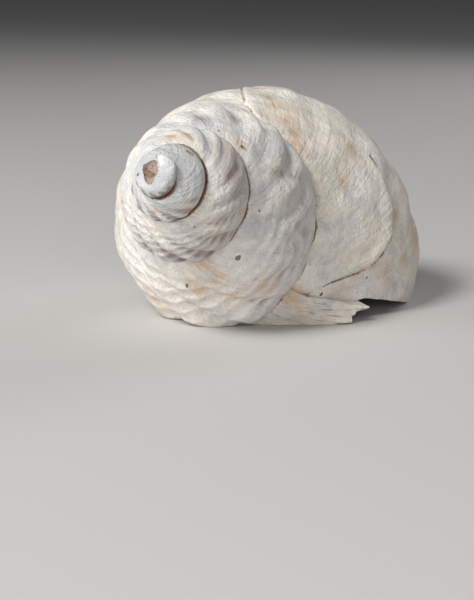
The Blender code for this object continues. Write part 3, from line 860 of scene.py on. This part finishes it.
def cut(shell, tools):
    """Joins or cuts the tools in turn, keeps the result as the shell's own mesh and removes them."""
    for tool, operation in tools:
        modifier = shell.modifiers.new(tool.name, "BOOLEAN")
        modifier.operation = operation
        modifier.solver = "EXACT"
        modifier.material_mode = "TRANSFER"
        modifier.object = tool
    bpy.context.view_layer.update()
    graph = bpy.context.evaluated_depsgraph_get()
    mesh = bpy.data.meshes.new_from_object(shell.evaluated_get(graph), depsgraph=graph)
    if len(mesh.polygons) < FACES_LEFT * len(shell.data.polygons):
        raise RuntimeError("The cuts left too little of the shell: %d faces" % len(mesh.polygons))
    shell.modifiers.clear()
    shell.data = mesh
    for tool, _ in tools:
        bpy.data.objects.remove(tool)


def rest_on_ground(shell, worn):
    """Cuts off what is below the ground and closes the rim there, a little uneven as worn shell is."""
    work = bmesh.new()
    work.from_mesh(shell.data)
    everything = work.verts[:] + work.edges[:] + work.faces[:]
    bmesh.ops.bisect_plane(work, geom=everything, dist=1e-7, plane_co=(0, 0, 0), plane_no=(0, 0, 1),
                           clear_inner=True)
    rim = [edge for edge in work.edges if edge.is_boundary]
    filled = bmesh.ops.triangle_fill(work, use_beauty=True, edges=rim, normal=(0, 0, -1))
    names = [material.name for material in shell.data.materials]
    lids = [face for face in filled["geom"] if isinstance(face, bmesh.types.BMFace)]
    for face in lids:
        face.material_index = names.index(worn.name)
    spots = np.array([vert.co for vert in work.verts])
    low = 1.0 - smooth(spots[:, 2], 0.0, 0.0012)
    lift = 0.00010 * (1.0 + noise_at(spots, 0.0045, 71)) + 0.00003 * (1.0 + noise_at(spots, 0.0016, 73))
    for vert, rise in zip(work.verts, low * lift):
        vert.co.z += rise
        vert.co.z = min(vert.co.z, TOP_WORN_FROM + 0.25 * (vert.co.z - TOP_WORN_FROM))
    bmesh.ops.recalc_face_normals(work, faces=lids)
    work.to_mesh(shell.data)
    work.free()


def plain_material(name, colour, roughness):
    """A material with one colour, to be finished below."""
    material = bpy.data.materials.new(name)
    material.use_nodes = True
    shader = material.node_tree.nodes["Principled BSDF"]
    shader.inputs["Base Color"].default_value = colour + (1.0,)
    shader.inputs["Roughness"].default_value = roughness
    shader.inputs["Specular IOR Level"].default_value = 0.4
    return material


class Paint:
    """Short ways to add nodes to a material."""

    def __init__(self, material):
        self.tree = material.node_tree
        self.shader = self.tree.nodes["Principled BSDF"]

    def put(self, socket, value):
        """Links a node's output to a socket, or sets a plain value on it."""
        if isinstance(value, bpy.types.NodeSocket):
            self.tree.links.new(value, socket)
        else:
            socket.default_value = value

    def mark(self, name):
        """The shell's own mark of that name, from 0 to 1."""
        node = self.tree.nodes.new("ShaderNodeAttribute")
        node.attribute_name = name
        return node.outputs["Fac"]

    def grain(self, along, across):
        """A place on the shell in growth-line coordinates, scaled along the coil and across it."""
        node = self.tree.nodes.new("ShaderNodeAttribute")
        node.attribute_name = "grain"
        scale = self.tree.nodes.new("ShaderNodeVectorMath")
        scale.operation = "MULTIPLY"
        self.put(scale.inputs[0], node.outputs["Vector"])
        scale.inputs[1].default_value = (along, across, 1.0)
        return scale.outputs["Vector"]

    def space(self):
        """A place in the object's own frame, in metres."""
        return self.tree.nodes.new("ShaderNodeTexCoord").outputs["Object"]

    def noise(self, vector, scale, detail=3.0, rough=0.55, warp=0.0):
        """Cloudy noise from 0 to 1."""
        node = self.tree.nodes.new("ShaderNodeTexNoise")
        self.put(node.inputs["Vector"], vector)
        node.inputs["Scale"].default_value = scale
        node.inputs["Detail"].default_value = detail
        node.inputs["Roughness"].default_value = rough
        node.inputs["Distortion"].default_value = warp
        return node.outputs["Fac"]

    def cells(self, vector, scale):
        """Distance to the middle of the nearest cell."""
        node = self.tree.nodes.new("ShaderNodeTexVoronoi")
        self.put(node.inputs["Vector"], vector)
        node.inputs["Scale"].default_value = scale
        return node.outputs["Distance"]

    def band(self, value, low, high, bottom=0.0, top=1.0):
        """Moves a value's range low to high onto bottom to top, smoothly."""
        node = self.tree.nodes.new("ShaderNodeMapRange")
        node.interpolation_type = "SMOOTHSTEP"
        self.put(node.inputs["Value"], value)
        node.inputs["From Min"].default_value = low
        node.inputs["From Max"].default_value = high
        node.inputs["To Min"].default_value = bottom
        node.inputs["To Max"].default_value = top
        return node.outputs["Result"]

    def sum(self, operation, first, second):
        """Arithmetic on two values."""
        node = self.tree.nodes.new("ShaderNodeMath")
        node.operation = operation
        self.put(node.inputs[0], first)
        self.put(node.inputs[1], second)
        return node.outputs["Value"]

    def times(self, first, second):
        """The product of two values."""
        return self.sum("MULTIPLY", first, second)

    def over(self, below, colour, mask):
        """A colour painted over another through a mask."""
        node = self.tree.nodes.new("ShaderNodeMix")
        node.data_type = "RGBA"
        node.clamp_factor = True
        self.put(node.inputs[0], mask)
        self.put(node.inputs[6], below)
        self.put(node.inputs[7], colour)
        return node.outputs[2]

    def bumps(self, layers):
        """Bump from several heights, each with its size in metres."""
        normal = None
        for height, size in layers:
            node = self.tree.nodes.new("ShaderNodeBump")
            node.inputs["Strength"].default_value = 1.0
            node.inputs["Distance"].default_value = size
            self.put(node.inputs["Height"], height)
            if normal:
                self.put(node.inputs["Normal"], normal)
            normal = node.outputs["Normal"]
        self.put(self.shader.inputs["Normal"], normal)


CREAM = (0.85, 0.79, 0.68, 1.0)
WHITE = (0.90, 0.87, 0.82, 1.0)
COOL_WHITE = (0.72, 0.74, 0.76, 1.0)
GREY = (0.42, 0.41, 0.41, 1.0)
TAN = (0.66, 0.44, 0.27, 1.0)
PALE_TAN = (0.80, 0.65, 0.48, 1.0)
MAUVE = (0.30, 0.22, 0.20, 1.0)
# HOLLOW_SHADE is painted shade for the hollows between folds and cords.
HOLLOW_SHADE = (0.24, 0.19, 0.17, 1.0)
# TINT_AND_SHADE is grey-mauve: partly the shell's own tint, partly painted shade.
TINT_AND_SHADE = (0.44, 0.39, 0.37, 1.0)
SMALL_WHORL = (0.50, 0.52, 0.53, 1.0)
BLUE_GREY = (0.55, 0.55, 0.57, 1.0)
BROWN = (0.24, 0.14, 0.09, 1.0)
# DIRT_AND_SHADOW is near black: specks in the pits, and painted shadow deep in the seams and the lines of the
# newest band.
DIRT_AND_SHADOW = (0.05, 0.03, 0.02, 1.0)


def paint_outside(material):
    """Sea-worn shell: cream and cool white, stained tan and mauve, with brown seams that are partly dirt and
    partly painted shade, painted shade in the hollows and on the whorls' sides that turn from the light,
    painted highlights on the crests, and dark pits.
    """
    paint = Paint(material)
    space = paint.space()
    broad = paint.noise(space, 110.0, 4.0)
    mottle = paint.noise(paint.grain(0.22, 0.16), 1.0, 4.0, 0.6, 0.4)
    streak = paint.noise(paint.grain(0.75, 0.06), 1.0, 4.0, 0.6, 0.2)
    medium = paint.noise(space, 340.0, 4.0, 0.6)
    fine = paint.noise(space, 900.0, 4.0, 0.65)
    crumb = paint.noise(space, 2600.0, 3.0, 0.6)

    colour = paint.over(CREAM, WHITE, paint.band(broad, 0.35, 0.62))
    colour = paint.over(colour, COOL_WHITE, paint.times(paint.mark("spire"), paint.band(mottle, 0.3, 0.7)))
    grey = paint.times(paint.band(mottle, 0.46, 0.68), paint.band(fine, 0.25, 0.7, 0.3, 0.9))
    colour = paint.over(colour, GREY, paint.times(grey, 0.60))
    colour = paint.over(colour, PALE_TAN, paint.times(paint.band(streak, 0.52, 0.70), 0.55))
    colour = paint.over(colour, WHITE, paint.times(paint.band(fine, 0.52, 0.72), 0.45))
    # Painted shade with some real grey-mauve tint: broad washes over the sides of the whorls that turn away
    # from the light.
    tint_and_shade = paint.times(paint.mark("tint_and_shade"), paint.band(mottle, 0.25, 0.6, 0.5, 1.0))
    colour = paint.over(colour, BLUE_GREY, paint.times(paint.band(medium, 0.48, 0.66), 0.45))
    colour = paint.over(colour, TINT_AND_SHADE, paint.times(tint_and_shade, 0.9))
    small = paint.times(paint.mark("small"), paint.band(medium, 0.2, 0.6, 0.65, 1.0))
    colour = paint.over(colour, SMALL_WHORL, paint.times(small, 0.85))
    tan = paint.times(paint.mark("tan"), paint.band(streak, 0.28, 0.55))
    colour = paint.over(colour, TAN, paint.times(tan, 0.8))
    mauve = paint.times(paint.mark("mauve"), paint.band(fine, 0.25, 0.65, 0.4, 1.0))
    colour = paint.over(colour, MAUVE, paint.times(mauve, 0.75))
    # Painted shade: dark grey-brown in the hollows between folds and cords on the sheltered underside, and
    # under the whorl edges on the lower left.
    low = paint.band(paint.sum("ADD", paint.mark("hollow"), paint.times(fine, 0.4)), 0.40, 1.00)
    colour = paint.over(colour, HOLLOW_SHADE, paint.times(low, 0.9))
    # Painted highlight: white on the crests of the cords and folds on the sheltered underside.
    colour = paint.over(colour, WHITE, paint.times(paint.mark("crest"), 0.5))
    edge = paint.band(paint.sum("ADD", paint.mark("seam"), paint.times(fine, 0.7)), 0.62, 1.05)
    colour = paint.over(colour, PALE_TAN, paint.times(edge, 0.6))
    # The crack mark: brown seams that are partly dirt and partly painted shade, brown stains along the old
    # break, and painted shade along the growth stop and under the ledges of the newest band.
    dirt_and_shade = paint.band(paint.sum("ADD", paint.mark("crack"), paint.times(crumb, 0.6)), 0.66, 0.95)
    colour = paint.over(colour, BROWN, paint.times(dirt_and_shade, 0.95))
    # Painted shadow: near black where the crack mark is strongest, deep in the seams and lines.
    deep_crack_shadow = paint.band(paint.sum("ADD", paint.mark("crack"), paint.times(fine, 0.8)), 1.10, 1.32)
    colour = paint.over(colour, DIRT_AND_SHADOW, deep_crack_shadow)
    specks = paint.band(paint.cells(space, 520.0), 0.16, 0.08)
    specks = paint.times(specks, paint.band(broad, 0.55, 0.62))
    colour = paint.over(colour, BROWN, paint.times(specks, 0.35))
    paint.put(paint.shader.inputs["Base Color"], colour)

    rough = paint.band(fine, 0.3, 0.7, 0.52, 0.78)
    paint.put(paint.shader.inputs["Roughness"], rough)
    threads = paint.noise(paint.grain(1.3, 0.12), 1.0, 3.0, 0.6, 0.3)
    paint.bumps(((threads, 0.00028), (fine, 0.00045), (crumb, 0.00016)))


def paint_inside(material):
    """The mouth: smooth, reddish brown, paler towards the lip."""
    paint = Paint(material)
    space = paint.space()
    bands = paint.noise(paint.grain(0.5, 0.03), 1.0, 3.0, 0.5)
    cloud = paint.noise(space, 160.0, 3.0)
    colour = paint.over((0.34, 0.17, 0.10, 1.0), (0.52, 0.31, 0.20, 1.0), paint.band(bands, 0.35, 0.65))
    colour = paint.over(colour, (0.62, 0.50, 0.40, 1.0), paint.times(paint.band(cloud, 0.5, 0.7), 0.4))
    colour = paint.over(colour, PALE_TAN, paint.mark("lip"))
    paint.put(paint.shader.inputs["Base Color"], colour)
    paint.put(paint.shader.inputs["Roughness"], paint.band(cloud, 0.3, 0.7, 0.25, 0.42))
    paint.bumps(((bands, 0.0004), (paint.noise(space, 700.0), 0.00006)))


def paint_edge(material):
    """Broken and ground-down shell: chalky layers of cream and brown."""
    paint = Paint(material)
    space = paint.space()
    layers = paint.noise(paint.grain(0.3, 1.2), 1.0, 3.0, 0.6)
    fine = paint.noise(space, 1100.0, 4.0, 0.65)
    colour = paint.over((0.70, 0.60, 0.47, 1.0), (0.45, 0.32, 0.22, 1.0), paint.band(layers, 0.4, 0.65))
    colour = paint.over(colour, BROWN, paint.times(paint.band(fine, 0.52, 0.7), 0.7))
    paint.put(paint.shader.inputs["Base Color"], colour)
    paint.put(paint.shader.inputs["Roughness"], paint.band(fine, 0.3, 0.7, 0.65, 0.85))
    paint.bumps(((fine, 0.0003),))


def paint_pit(material):
    """The inside of worn holes: darker brown-grey, with near-black specks."""
    paint = Paint(material)
    space = paint.space()
    fine = paint.noise(space, 1300.0, 4.0, 0.65)
    cloud = paint.noise(space, 500.0, 3.0)
    colour = paint.over((0.36, 0.29, 0.25, 1.0), BROWN, paint.band(cloud, 0.45, 0.65))
    colour = paint.over(colour, DIRT_AND_SHADOW, paint.times(paint.band(fine, 0.5, 0.65), 0.7))
    paint.put(paint.shader.inputs["Base Color"], colour)
    paint.put(paint.shader.inputs["Roughness"], paint.band(fine, 0.3, 0.7, 0.7, 0.9))
    paint.bumps(((fine, 0.0002),))


def near_spots(points, spots):
    """1 in the middle of any of the spots, fading to 0 at its reach."""
    mask = np.zeros(len(points))
    for turn, side, reach in spots:
        gap = np.linalg.norm(points - surface(turn, side), axis=1)
        mask = np.maximum(mask, np.exp(-(gap / (0.62 * reach)) ** 2))
    return mask


def near_route(points, route, reach):
    """1 on a route of (turn, side) points, fading to 0 at its reach."""
    _, (turns, sides) = along_route(route, 12 * len(route))
    centres = surface(turns, sides)
    gap = np.full(len(points), 1.0)
    for centre in centres:
        gap = np.minimum(gap, np.linalg.norm(points - centre, axis=1))
    return np.exp(-(gap / reach) ** 2)


def mark_surface(mesh):
    """Gives every corner its place in growth-line coordinates and its marks for the materials."""
    count = len(mesh.loops)
    coil = np.empty(count * 2)
    mesh.uv_layers["coil"].data.foreach_get("uv", coil)
    turn, side = coil.reshape(-1, 2).T
    verts = np.empty(len(mesh.vertices) * 3)
    mesh.vertices.foreach_get("co", verts)
    verts = verts.reshape(-1, 3)
    corner = np.empty(count, dtype=np.int64)
    mesh.loops.foreach_get("vertex_index", corner)
    turn = np.clip(turn, FIRST_TURN, HORN_END)
    side = np.clip(side, 0.0, 2.0)
    points = verts[corner]

    chord = chord_of(turn)
    to_lower = np.where(side > 1.0, 9.0, 1.0 - side + newness(turn) * 9.0)
    seam = np.minimum(side + (side > 1.0) * 9.0, to_lower) * chord
    folds = fold_band(turn, side)
    low_fold = 0.5 - 0.5 * fold_wave(turn, side)
    low_cord = 0.5 - 0.4 * cord_wave(turn, side)
    shade = sheltered(turn) * smooth(chord, 0.001, 0.004)
    seam_dark = dark_seam_along(np.where(side < 0.5, turn, turn + 1.0))
    # Painted shade under the overhanging whorl edges on the lower left of the spire.
    edge_shade = smooth(side, 0.58, 0.80) * low_left(turn) * low_fold ** 0.8 * (1.0 - newness(turn))
    # Broad grey-mauve washes, partly the shell's own tint and partly painted shade.
    tint_and_shade = 0.0
    for at_turn, at_side, turns, sides, amount in TINT_AND_SHADE_WASHES:
        tint_and_shade = tint_and_shade + amount * np.exp(-((turn - at_turn) / turns) ** 2 - ((side - at_side) / sides) ** 2)
    broken_line = 0.60 + 0.50 * noise_along(arc_of(turn) / 0.003 + 3.0 * side, 131)
    broken_line = np.clip(broken_line, 0.0, 1.0)
    # Brown in the seams, partly dirt and partly painted shade.
    in_seam = np.exp(-(seam / 0.0006) ** 2) * smooth(chord, 0.0008, 0.004)
    in_seam = in_seam * np.clip(1.25 * seam_dark, 0.0, 1.0) ** 0.6
    # The scars: brown stains along the old break, and a painted shadow line along the growth stop.
    scar_stain_and_shade = np.maximum(near_route(verts, OLD_BREAK, 0.0006), near_route(verts, GROWTH_STOP, 0.0005))
    scar_stain_and_shade = broken_line * scar_stain_and_shade[corner]
    small = 1.0 - smooth(turn, -1.3, -0.9)
    marks = {
        "spire": 1.0 - smooth(turn, -1.3, -0.7),
        "tan": near_spots(verts, TAN_STAINS)[corner],
        "mauve": near_spots(verts, MAUVE_STAINS)[corner],
        # The hollow mark is painted shade in the hollows between folds and cords.
        "hollow": np.clip(0.7 * shade * folds * low_fold * (0.25 + 0.9 * low_cord) * (0.4 + 0.6 * small)
                          + edge_shade * small * (0.7 + 0.6 * low_cord), 0.0, 1.0),
        "tint_and_shade": np.clip(tint_and_shade, 0.0, 1.0),
        "small": smooth(turn, -4.60, -4.35) * (1.0 - smooth(turn, -3.02, -2.80)),
        # The crest mark is a painted highlight on the crests of the cords and folds.
        "crest": np.clip(shade * folds * (1.0 - low_cord) * 1.2, 0.0, 1.0),
        "seam": np.exp(-(seam / 0.0007) ** 2) * smooth(chord, 0.001, 0.005) * seam_dark ** 1.5,
        # The crack mark: seams that are partly dirt and partly painted shade, the painted shade lines of the
        # newest band, and the scars.
        "crack": np.maximum.reduce((in_seam, 0.8 * shade_under_lamellae(turn, side), scar_stain_and_shade)),
        "lip": 1.0 - smooth(points[:, 2], 0.0, PALE_LIP),
    }
    for name, values in marks.items():
        layer = mesh.attributes.new(name, "FLOAT", "CORNER")
        layer.data.foreach_set("value", values.astype(np.float32))
    grain = np.stack([1000.0 * arc_of(turn + LEAN * side), 1000.0 * side * chord, 0.0 * turn], axis=-1)
    layer = mesh.attributes.new("grain", "FLOAT_VECTOR", "CORNER")
    layer.data.foreach_set("vector", grain.astype(np.float32).ravel())


outside = plain_material("shell_outside", CREAM[:3], 0.6)
inside = plain_material("shell_mouth", (0.42, 0.24, 0.16), 0.35)
broken = plain_material("shell_edge", (0.62, 0.53, 0.44), 0.7)
pitted = plain_material("shell_pit", (0.30, 0.22, 0.18), 0.8)
paint_outside(outside)
paint_inside(inside)
paint_edge(broken)
paint_pit(pitted)

shell = make_envelope(outside)
cut(shell, (
    (make_pits(pitted), "DIFFERENCE"),
    (make_flange(outside), "UNION"),
    (make_chip(broken), "DIFFERENCE"),
    (groove("old_break", OLD_BREAK, 0.0012, 0.00020, 90, 91, outside), "DIFFERENCE"),
    (groove("growth_stop", GROWTH_STOP, 0.0010, 0.00020, 64, 97, outside), "DIFFERENCE"),
    (make_horn(inside), "DIFFERENCE"),
    (make_canal(inside), "DIFFERENCE"),
))
rest_on_ground(shell, broken)
mesh = shell.data
mark_surface(mesh)
mesh.shade_smooth()
mesh.set_sharp_from_angle(angle=math.radians(48.0))
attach(shell, "root")
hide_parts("shell")

# The floor
floor_mesh = bpy.data.meshes.new("floor")
floor_mesh.from_pydata([(-20.0, -20.0, 0.0), (20.0, -20.0, 0.0), (20.0, 20.0, 0.0), (-20.0, 20.0, 0.0)], [],
                       [(0, 1, 2, 3)])
floor_mesh.materials.append(plain_material("floor", (0.62, 0.61, 0.60), 0.9))
floor = bpy.data.objects.new("floor", floor_mesh)
bpy.context.scene.collection.objects.link(floor)

# The camera, where it stood for the photograph
CAMERA_TURN = math.radians(18.335)
CAMERA_FALL = 0.2240
CAMERA_ROLL = 0.0137
CAMERA_DISTANCE = 0.2826
CAMERA_LENS = 84.77
turned = Matrix.Rotation(CAMERA_TURN, 3, "Z")
forward = turned @ Vector((0.0, math.cos(CAMERA_FALL), -math.sin(CAMERA_FALL)))
level = turned @ Vector((1.0, 0.0, 0.0))
upright = level.cross(forward)
right = level * math.cos(CAMERA_ROLL) + upright * math.sin(CAMERA_ROLL)
above = upright * math.cos(CAMERA_ROLL) - level * math.sin(CAMERA_ROLL)
camera_data = bpy.data.cameras.new("camera")
camera = bpy.data.objects.new("camera", camera_data)
camera_data.lens = CAMERA_LENS
camera_data.clip_start = 0.01
pose = Matrix((right, above, -forward)).transposed().to_4x4()
pose.translation = Vector((APEX[0] - 0.00217, APEX[1] + 0.0480, 0.0003)) - forward * CAMERA_DISTANCE
camera.matrix_world = pose
bpy.context.scene.collection.objects.link(camera)
bpy.context.scene.camera = camera


def soft_light(name, spot, target, size, power, colour):
    """A square studio light that faces a target."""
    data = bpy.data.lights.new(name, "AREA")
    data.size = size
    data.energy = power
    data.color = colour
    light = bpy.data.objects.new(name, data)
    light.location = spot
    light.rotation_mode = "QUATERNION"
    light.rotation_quaternion = (Vector(target) - Vector(spot)).to_track_quat("-Z", "Y")
    bpy.context.scene.collection.objects.link(light)


soft_light("key", (-0.250, -0.572, 0.669), (0.0, 0.0, 0.02), 0.24, 5.9, (1.0, 0.98, 0.95))
soft_light("side", (-0.679, -0.562, 0.203), (0.0, 0.0, 0.02), 0.35, 3.1, (0.96, 0.98, 1.0))
soft_light("front", (0.274, -0.826, 0.249), (0.0, 0.0, 0.02), 0.40, 2.2, (1.0, 0.98, 0.96))
soft_light("back", (0.350, 0.750, 0.500), (0.0, 0.0, 0.02), 0.50, 2.0, (1.0, 1.0, 1.0))
world = bpy.data.worlds.new("studio")
world.use_nodes = True
world.node_tree.nodes["Background"].inputs["Color"].default_value = (0.9, 0.92, 0.95, 1.0)
world.node_tree.nodes["Background"].inputs["Strength"].default_value = 0.08
bpy.context.scene.world = world
bpy.context.scene.view_settings.view_transform = "Standard"
